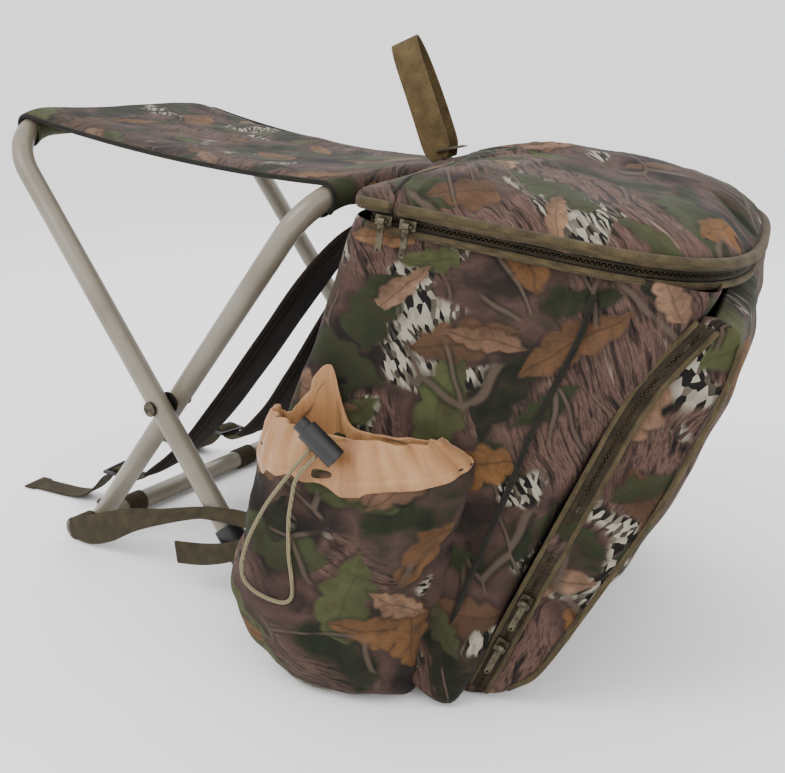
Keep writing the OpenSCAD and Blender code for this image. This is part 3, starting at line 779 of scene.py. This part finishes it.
def dome(name):
    """The padded top as one shell: a rim wall, a rounded shoulder and a crown."""
    open_line = lid_outline(0)
    rear = np.linspace(open_line[-1], open_line[0], 42)[1:-1]
    outline = np.concatenate([open_line, rear])
    centre = np.array([DOME_CENTRE, 0])
    rows = []
    for s, z in DOME:
        p = centre + (outline - centre) * s
        rows.append(at_top(p[:, 0], p[:, 1], top_height(z, p[:, 0], p[:, 1])))
    return grid(name, rows[::-1], ring=True)


def cut_at_hinge(obj, forward):
    """Keeps the part of the dome in front of the hinge seam, or behind it."""
    level = bmesh.new()
    level.from_mesh(obj.data)
    gap = 0.4 if forward else -0.4
    origin, ahead = at_top(HINGE_U + gap, 0, 0), at_top(1001, 0, 0) - at_top(1, 0, 0)
    bmesh.ops.bisect_plane(
        level, geom=level.verts[:] + level.edges[:] + level.faces[:], plane_co=Vector(origin),
        plane_no=Vector(ahead), clear_inner=forward, clear_outer=not forward)
    level.to_mesh(obj.data)
    level.free()


def build_top():
    for name, forward, body, node in (
            ("lid_cover", True, "lid", "lid_shell"), ("rear_strip", False, ROOT, "top_strip")):
        cover = dome(name)
        cut_at_hinge(cover, forward)
        m = cover.modifiers.new("finer", "SUBSURF")
        m.levels = m.render_levels = 1
        m.boundary_smooth = "PRESERVE_CORNERS"
        apply_modifiers(cover)
        if forward:
            p = to_sack(points_of(cover)) / MM
            rim = RIM_Z - 0.13 * p[:, 0] + 7 > p[:, 2]
            seam = p[:, 0] < HINGE_U + 12
            puff(cover, rim | seam, 3, pressure=1.2, shrink=-0.02)
            crumple(cover, (0.10, 2.6, 3.0), (0.042, 1.3, 6.0, (1, 2.0, 1)))
        p = to_sack(points_of(cover))
        set_flat(cover, p[:, 1], p[:, 0] + 0.4 * p[:, 2])
        settle(cover, 2.0, 0)
        place(cover, "camo_top", body, (node,), "camo_cloth")
    cord_z, seam_u = 4.5, HINGE_U - 3.5
    outline = lid_outline(-3.4, 260)
    line = outline[outline[:, 0] > HINGE_U + 3]
    piping("lid_edge_piping", [at_top(*line.T, cord_z)], 4.6, 12, "piping", "lid", ("lid_piping",))
    paths = []
    for side in (-1, 1):
        line = np.array([(u, side * (HALF_W + 3.2), cord_z) for u in np.linspace(9, HINGE_U - 1, 16)])
        line[0, 1] = side * (HALF_W - 1)
        paths.append(at_top(*line.T))
    piping("rear_strip_piping", paths, 4.4, 12, "piping", ROOT, ("top_strip_piping",))
    # hinge seam: a bound fold across the top, along the front of the rear strip
    v = np.linspace(-HALF_W + 6, HALF_W - 6, 70)
    ring = np.maximum(np.abs(v) / HALF_W, 1 - HINGE_U / DOME_CENTRE)
    z = top_height(np.interp(ring, *np.array(DOME[:2:-1]).T), seam_u, v)
    piping("hinge_seam", [at_top(seam_u, v, z)], 2.2, 8, "seam", ROOT)


def build_rim_zip():
    """Two zip tapes with a coil of teeth between them, all round the mouth of the sack."""
    outline = lid_outline(-1.0, 300)
    zipped = outline[:, 0] > 19
    parts = []
    for low, high in ((-7.8, -4.9), (-2.9, -0.4)):
        rows = [at_top(*lid_outline(off, 300)[zipped].T, z)
                for off, z in ((-0.6, low), (-1.6, (low + high) / 2), (-0.6, high))]
        parts.append(settle(grid("tape", rows), 1.0, 1))
    tapes = joined("lid_zip_tape", parts)
    place(tapes, "zip_tape", ROOT, ("lid_zip_chain",), "olive_web")
    up = at_top(0, 0, 1) - at_top(0, 0, 0)
    coil = teeth_along("lid_zip_teeth", at_top(*outline[zipped].T, -3.9), up, 1.9, 1.7, 0.9)
    place(coil, "teeth", ROOT, (), "zip_metal")
    # bound lip of the sack below the zip
    lip = lid_outline(-2.2, 300)[outline[:, 0] > 14]
    piping("mouth_binding", [at_top(*lip.T, -10.5)], 2.8, 10, "piping", ROOT)


def teeth_along(name, path, up, pitch, high, thick):
    """A row of small zip teeth, leaning alternately, along a path in metres."""
    end = run_length(path)[-1]
    steps = np.arange(0, end, pitch * MM)
    centres = sample(path, steps)
    runs = sample(path, np.minimum(steps + 0.003, end)) - centres
    up = unit(up)
    verts, faces = [], []
    for i, (c, run) in enumerate(zip(centres, runs)):
        if np.linalg.norm(run) < 1e-6:
            continue
        ahead = unit(run)
        out = np.cross(ahead, up)
        lean = (0.3 if i % 2 else -0.3) * high
        base = len(verts)
        for corner in np.ndindex(2, 2, 2):
            a, b, d = np.array(corner) - 0.5
            verts.append(c + MM * (ahead * a * 0.684 * pitch + up * (b * high + lean) + out * d * thick))
        faces += [tuple(base + k for k in f) for f in
                  ((0, 1, 3, 2), (4, 6, 7, 5), (0, 4, 5, 1), (2, 3, 7, 6), (0, 2, 6, 4), (1, 5, 7, 3))]
    mesh = bpy.data.meshes.new(name)
    mesh.from_pydata([tuple(v) for v in verts], [], faces)
    return settle(new_object(name, mesh), 0, 0, bevel=0.25)


# ---- Haul loop ----
LOOP_LEAN, LOOP_FOOT = radians(22), (6, 397)


def at_loop(x, v, z):
    c, s = cos(LOOP_LEAN), sin(LOOP_LEAN)
    x, z = np.asarray(x, float), np.asarray(z, float)
    return at_sack(LOOP_FOOT[0] + x * c - z * s, v, LOOP_FOOT[1] + x * s + z * c)


def build_loop():
    half = [(-14, -1.5), (-13, 10), (-13.2, 30), (-12, 60), (-9.5, 84), (-5, 98), (0, 103)]
    path = curve_through(half + [(-v, z) for v, z in half[-2::-1]], 72)
    z = path[:, 1]
    twist = 2.0 * np.sin(z / 34)
    centre = at_loop(twist * 0.6, path[:, 0], z)
    across = at_loop(np.full_like(z, 10), path[:, 0], z + twist * 0.8) - at_loop(0, path[:, 0], z)
    width = np.interp(z, (-1, 8, 16), (14, 24, 25))
    loop = tape("haul_webbing", centre, across, width, 1.9)
    place(loop, "tan_web", "haul_loop", ("haul_loop",), "tan_web")
    u, v = np.meshgrid(np.linspace(-9, 9, 9), np.linspace(-19, 19, 15))
    lift = 15 + (u + 9) * 0.413 + 8.6 * (1 - (u + 9) / 120) + 1.4 * (1 - (u / 9) ** 6) * (1 - (v / 19) ** 6)
    patch = settle(grid("haul_patch", at_top(u + 9, v, lift)), 1.2, 1)
    place(patch, "olive_web", ROOT, ("haul_loop_patch",), "olive_web")


# ---- Front pocket ----
POCKET_HALF = 188


def build_front_pocket():
    face = curve_through([
        (120, 4), (140, 20), (160, 40), (209, 135), (238, 196), (266, 271), (274, 312), (270, 322)], 46)
    back_line = np.array([FOOT, KNEE, FRONT_TOP], float)
    length = run_length(back_line)[-1]
    side = np.linspace(0, 1, 6)[:-1]
    most = pi / 2 * 0.93
    v = np.concatenate([
        np.full(5, -1.0), np.sin(np.linspace(-1, 1, 45) * most) / sin(most), np.full(5, 1.0)])
    deep = np.concatenate([side, np.ones(45), side[::-1]])
    rows = []
    for k, t in enumerate(np.linspace(0, 1, 46)):
        back = sample(back_line, t * length)
        end = min(1.0, 0.25 + 2.6 * sqrt(min(t, 1 - t) / 0.16))
        depth = deep * end * np.clip(1.0 - 0.10 * np.abs(v) ** 8, 0, 1)
        p = back[None] + (face[k] - back)[None] * depth[:, None]
        rows.append(at_sack(p[:, 0], v * POCKET_HALF, p[:, 1]))
    pocket = grid("front_pouch", rows)
    start = to_sack(points_of(pocket)) / MM
    held = (np.abs(start[:, 1]) > POCKET_HALF - 2) | (start[:, 2] > 306) | (start[:, 2] < 12)
    puff(pocket, held, 5, pressure=1.6, shrink=-0.03)
    crumple(pocket, (0.13, 4.2, 9.0), (0.05, 1.8, 2.5, (1, 1, 1.6)), (0.02, 0.8, 4.0))
    keep_above(pocket, 0.002)
    co = points_of(pocket)
    co[:, 0] = np.minimum(co[:, 0], cad_high[0] + PAST_CAD)
    set_points(pocket, co)
    p = to_sack(points_of(pocket))
    set_flat(pocket, p[:, 1] + 0.7 * p[:, 0], p[:, 2] * 1.08)
    settle(pocket, 2.0, 1)
    place(pocket, "camo_front", ROOT, ("front_pocket",), "camo_cloth")
    paths = [at_sack(face[2:-2, 0] - 3, s * (POCKET_HALF + 0.4), face[2:-2, 1] - 1) for s in (-1, 1)]
    piping("front_pouch_piping", paths, 2.4, 8, "piping", ROOT, ("front_pocket_piping",))
    # zip on the near side of the pocket
    foot, knee = np.array([95, 0.3]), np.array([184, 221.0])
    along = unit(knee - foot)
    across = at_sack(along[1], 0, -along[0]) - at_sack(0, 0, 0)
    line = curve_through([foot + 10 * along + [9, 0], (foot + knee) / 2 + [9, 0], knee + [7, -6],
                          knee + [14, 12], (217, 272), (249, 316)], 110)

    def beside(shift, out):
        """The zip's line moved across by shift, and out from the side of the pocket."""
        return at_sack(line[:, 0] + shift * along[1], -POCKET_HALF - out, line[:, 1] - shift * along[0])

    bands = [tape("band", beside(shift, 1.6), across, 4.6, 0.9) for shift in (-3.3, 3.3)]
    tapes = joined("front_zip_tape", bands)
    place(tapes, "zip_tape", ROOT, ("front_zip_chain",), "olive_web")
    coil = teeth_along("front_zip_teeth", beside(0, 2.1), across, 2.0, 2.2, 0.9)
    place(coil, "teeth", ROOT, (), "zip_metal")
    piping("front_zip_binding", [beside(shift, 1.8) for shift in (-7.2, 7.2)], 2.1, 8, "piping", ROOT)


# ---- Side pockets ----
POUCH_TOP = 203
POUCH = np.array([  # height, rear end, front end, bulge: from the pocket's outline
    (2, -36, 60, 24), (14, -56, 64, 33), (40, -78, 67, 43), (76, -94, 72, 48), (112, -90, 80, 49),
    (150, -78, 92, 49), (182, -68, 99, 48), (POUCH_TOP, -66, 100, 47)], float)


def pouch_ring(w):
    """A side pocket's outline at height w: sack-frame u and v, for the near side."""
    rear, front, bulge = (np.interp(w, POUCH[:, 0], POUCH[:, k]) for k in (1, 2, 3))
    a = np.linspace(pi, 2 * pi, 46)
    u = (rear + front) / 2 + (front - rear) / 2 * rounded(np.cos(a), 2 / 2.7)
    return u, -HALF_W + 4 - (bulge + 4) * np.abs(np.sin(a)) ** (2 / 2.7)


def build_pocket(side, name):
    sign = -side
    rows = []
    u, v = pouch_ring(2)
    mid_u, mid_v = u.mean(), -HALF_W + 4
    for s in (0.04, 0.45, 0.8, 0.95):
        rows.append(at_sack(mid_u + (u - mid_u) * s, sign * (mid_v + (v - mid_v) * s), 2))
    for w in np.linspace(2.2, POUCH_TOP, 40):
        u, v = pouch_ring(w)
        sink = 0 if w < 150 else 5 * ((w - 150) / 53) * np.sin(pi * (u - u.min()) / np.ptp(u))
        rows.append(at_sack(u, sign * v, w - sink))
    pouch = grid(f"side_pouch_{name}", np.array(rows))
    p = to_sack(points_of(pouch)) / MM
    held = (np.abs(p[:, 1]) < HALF_W - 2) | (p[:, 2] > 188) | (p[:, 2] < 4)
    puff(pouch, held, 5, pressure=2.0, shrink=-0.05)
    crumple(pouch, (0.085, 4.6, 2.0 + side), (0.036, 2.4, 7.0, (1, 1, 0.55)), (0.018, 0.9, 3.0))
    keep_above(pouch, 0.002)
    co = points_of(pouch)
    co[:, 1] = np.clip(co[:, 1], cad_low[1] - PAST_CAD, cad_high[1] + PAST_CAD)
    set_points(pouch, keep_off_frames(co))
    settle(pouch, 1.8, 1)
    place(pouch, "camo_side", ROOT, (f"side_pocket_{name}",), "camo_cloth")
    build_collar(sign, name)


def build_collar(sign, name):
    """Gathered nylon collar: up from the pocket's top, in to a drawn channel, pulled up against the sack."""
    a = np.linspace(0, 2 * pi, 120, endpoint=False)
    c, s = np.cos(a), np.sin(a)
    outer, near, back = s < 0, np.clip(-s, 0, 1), np.clip(s, 0, 1)
    base_low = 176 + 22 * np.clip((c + 0.2) / 1.2, 0, 1)
    rim_near = 221 - 4 * c
    ahead = 92 * c + 22
    rim_back = 212 + 52 * np.exp(-(ahead / np.where(ahead < 0, 36, 10)) ** 2)
    rim = np.where(outer, rim_near, rim_near * (1 - back) + rim_back * back)
    low = np.where(outer, POUCH_TOP - (POUCH_TOP - base_low) * near ** 0.5, POUCH_TOP)
    rows = []
    for t in np.linspace(0, 1, 22):
        draw = t ** 1.6
        gather = (0.5 + 1.9 * draw) * np.sin(a * 17 + 1.3 * np.sin(a * 3)) + 0.9 * draw * np.sin(a * 41)
        u = 16 - 4 * draw + (84 - 16 * draw + gather) * rounded(c, 0.74)
        out = 47 + 6 * sin(pi * t) + (3 if t < 0.3 else 0) - 5 * draw
        v_near = np.minimum(-HALF_W - (out + gather) * near ** 0.74, -HALF_W - 6)
        v_back = -HALF_W - 4 - 2.5 * np.abs(np.sin(a * 9)) * draw - 3 * (1 - back)
        rows.append(at_sack(u, sign * np.where(outer, v_near, v_back), low * (1 - t) + rim * t))
    top = rows[-1]
    centre = top.mean(0)
    for share, rise in ((0.985, 0.0018), (0.965, 0.0012), (0.955, -0.004), (0.95, -0.012)):
        rows.append(centre + (top - centre) * [share, share, 1] + [0, 0, rise])
    collar = grid(f"pocket_collar_cloth_{name}", np.array(rows), ring=True)
    crumple(collar, (0.03, 2.0, 1.0, (1, 1, 0.5)), (0.014, 0.8, 5.0, (1, 1, 0.4)))
    settle(collar, 0.9, 1)
    place(collar, "nylon", ROOT, (f"pocket_collar_{name}",), "tan_cloth")
    u, v = pouch_ring(POUCH_TOP)
    hem = at_sack(u, sign * (v - 1), POUCH_TOP - 5 * np.sin(pi * (u - u.min()) / np.ptp(u)))[2:-2]
    piping(f"pocket_hem_{name}", [curve_through(hem, 70)], 1.7, 8, "camo_side", ROOT, slot="camo_cloth")


# ---- Cord ----
CORD_ROUTE = [
    (-4, -252, 216), (-8, -254, 211), (-14, -255, 203), (-22, -255, 192), (-31, -254, 180),
    (-40, -253, 167), (-48, -252, 153), (-55, -252, 139), (-60, -252, 125), (-63, -252, 112),
    (-61, -252, 101), (-54, -252, 94), (-45, -253, 91), (-36, -253, 89), (-28, -253, 89),
    (-22, -253, 93), (-20, -253, 101), (-21, -253, 115), (-22, -254, 130), (-22, -254, 145),
    (-21, -255, 160), (-18, -256, 176), (-15, -256, 190), (-9, -256, 200), (-3, -254, 207),
    (1, -252, 212)]


def build_cord():
    line = curve_through(at_sack(*np.array(CORD_ROUTE, float).T), 90)
    cord = settle(tube("draw_cord_braid", line, 1.5, 10), 0, 0)
    place(cord, "braid", ROOT, ("draw_cord",), "cord")
    length = float(run_length(line)[-1])


# ---- Straps ----
PAD_PATH = [
    (-6, 350), (13, 343), (38, 328), (73, 293), (118, 234), (163, 174), (208, 118), (240, 86), (262, 67),
    (282, 54)]
WEB_PATH = [
    (276, 58), (286.5, 49), (295, 44.5), (304, 41.5), (317, 41.5), (325, 48.8), (331, 48.8),
    (339, 41.5), (348, 35), (362, 20), (378, 8), (398, 3), (430, 2), (466, 2)]


STRAP_FROM, STRAP_SPLAY = (178, 35), 8


def at_strap(side, x, y, z):
    a = radians(180 - side * STRAP_SPLAY)
    x, y = np.asarray(x, float), np.asarray(y, float)
    c, s = cos(a), sin(a)
    return at_pivot(STRAP_FROM[0] + x * c - y * s, side * STRAP_FROM[1] + x * s + y * c, z)


def build_strap(side, name):
    path = curve_through(PAD_PATH, 60)
    run = unit(np.gradient(path, axis=0))
    up = np.stack([-run[:, 1], run[:, 0]], -1)
    s = np.linspace(0, 2 * pi, 36, endpoint=False)
    rows = []
    for k in range(len(path)):
        end = sin(min(1, min(k, len(path) - 1 - k) / 5 + 0.35) * pi / 2)
        taper = 32 - 7 * max(0, (k - 40) / 20)
        across = taper * (0.75 + 0.25 * end) * rounded(np.cos(s), 0.55)
        channel = 1 - 0.35 * np.exp(-((np.abs(across) - taper * 0.78) / 2.2) ** 2)
        quilt = 1 - 0.06 * cos(k * 2 * pi / 12)
        high = 5.2 * end * quilt * channel * rounded(np.sin(s), 0.7)
        x, z = path[k, 0] + up[k, 0] * high, path[k, 1] + up[k, 1] * high
        rows.append(at_strap(side, x, across, z))
    pad = grid(f"shoulder_pad_{name}", rows, ring=True, ends=True)
    settle(pad, 0, 1)
    place(pad, "pad", ROOT, (f"shoulder_strap_{name}",), "black_pad")
    line = curve_through(WEB_PATH, 110)
    centre = at_strap(side, line[:, 0], 0, line[:, 1])
    across = at_strap(side, 0, 1, 0) - at_strap(side, 0, 0, 0)
    width = np.where(line[:, 0] > 452, 31.0, 25.0)
    strap = tape("web", centre, across, width, 1.6)
    webs = joined(f"strap_web_{name}", [strap, foot_bar_loop("web", side * 87)])
    keep_above(webs, 0.0004)
    place(webs, "olive_web", ROOT, (f"strap_webbing_{name}",), "olive_web")


def foot_bar_loop(name, y):
    """The end of a strap, sewn round the foot bar."""
    a = np.linspace(0, 2 * pi, 48)
    line = at_pivot(FOOT_BAR[0] + 11.0 * np.cos(a), y, FOOT_BAR[1] + 11.0 * np.sin(a))
    return tape(name, line, (0, 1, 0), 25, 1.5)


def upright_band(name, low, high, steps, sideways, thick):
    """A band on its edge between two lines; sideways gives y at each row, for shares of its width."""
    share = np.linspace(0, 1, steps)
    rows = []
    for i, (a, b) in enumerate(zip(low, high)):
        line = a + (b - a) * share[:, None]
        rows.append(at_pivot(line[:, 0], sideways(i, share), line[:, 1]))
    return settle(grid(name, rows), thick, 1)


def build_foot_straps():
    upper = curve_through([(-131, 24), (-105, 34), (-41, 59), (1, 70), (62, 89), (102, 98), (130, 101)], 70)
    lower = curve_through([(-130, 3), (-101, 3), (-66, 16), (-23, 41), (46, 71), (75, 79), (130, 85)], 70)
    for side, name, n in ((-1, "near", 70), (1, "far", 38)):
        band = upright_band("band", lower[:n], upper[:n], 9, lambda i, share: side * (
            166.9 + 0.8 * sin(i / 9) + 0.6 * np.sin(share * pi)), 1.6)
        strap = joined(f"foot_web_{name}", [band, foot_bar_loop("band", side * 153.5)])
        keep_above(strap, 0.0003)
        place(strap, "olive_web", ROOT, (f"foot_strap_{name}",), "olive_web")
    upper = curve_through([(30, 48), (60, 54), (90, 63), (111, 72), (130, 84)], 40)
    lower = curve_through([(33, 25), (60, 31), (85, 40), (106, 50), (130, 64)], 40)
    tail = upright_band("lash_tail", lower, upper, 7, lambda i, share: -172.0 + 0.8 * sin(i / 6), 1.7)
    place(tail, "olive_web", ROOT, ("lash_webbing",), "olive_web")


def build_hanger():
    """Flap that joins the inner bar's sleeve to the sack's rear top edge."""
    y = np.linspace(-84, 42, 40)
    x0, x1 = INNER_BAR[0] + SLEEVE_R, SACK_X - y * tan(YAW) - 3
    rows = []
    for t in np.linspace(0, 1, 10):
        z = 370 - 6 * sin(pi * t) + 2 * np.sin(y / 11)
        rows.append(at_pivot(x0 * (1 - t) + np.maximum(x1, x0 + 1) * t, y, z))
    flap = settle(grid("hanger_flap", rows), 2.0, 1)
    place(flap, "camo_body", ROOT, ("sack_hanger",), "camo_cloth")


# ---- The scene ----
build_stage()
MATERIALS = {name: camo(name, *look) for name, look in {  # shift, turn, more bark, brightness
    "camo_seat": ((0.31, 0.12, 0), 1.2, 0.02, 1),
    "camo_body": ((1.27, 0.52, 0), 0.9, 0.03, 1),
    "camo_side": ((2.13, 0.41, 0), 0.4, 0, 1),
    # the top's print is brightened by 1.15: painted light on the upward-facing top
    "camo_top": ((3.37, 0.87, 0), 0.5, 0.04, 1.15),
    "camo_front": ((4.09, 1.33, 0), 1.9, 0.05, 1)}.items()}
MATERIALS.update({name: webbing(name, *look) for name, look in {  # light and dark yarn, rib in metres
    "olive_web": ((84, 74, 46), (48, 40, 24), 0.0022),
    "tan_web": ((128, 108, 72), (86, 70, 44), 0.0022),
    "piping": ((112, 98, 68), (62, 52, 36), 0.004),
    "seam": ((46, 42, 32), (26, 24, 20), 0.004),
    "zip_tape": ((70, 60, 42), (36, 30, 22), 0.003)}.items()})
MATERIALS.update(
    paint=painted_tube(), black=plastic("black_plastic", (24, 24, 24), 0.42), nylon=nylon(), pad=air_mesh(),
    metal=metal("aged_metal", (120, 112, 92), 0.38), teeth=metal("zip_teeth", (74, 64, 46), 0.5),
    braid=cord_braid())
HARD = {
    "paint": ("outer_frame", "inner_frame", "inner_foot_bar"),
    "black": ("outer_foot_tips", "foot_bar_plugs", "pivot_washers", "cord_lock_barrel", "cord_lock_button",
              "strap_buckles"),
    "metal": ("foot_bar_screws", "pivot_rivets", "lid_sliders", "lid_pull_rear", "lid_pull_front",
              "front_slider_upper", "front_slider_lower", "front_pull_upper", "front_pull_lower")}
for key, names in HARD.items():
    for name in names:
        cover_with(NODES[name], key)
build_seat()
build_sack()
build_top()
build_rim_zip()
build_loop()
build_front_pocket()
build_pocket(1, "near")
build_pocket(-1, "far")
build_cord()
for side, name in SIDES:
    build_strap(side, name)
build_foot_straps()
build_hanger()
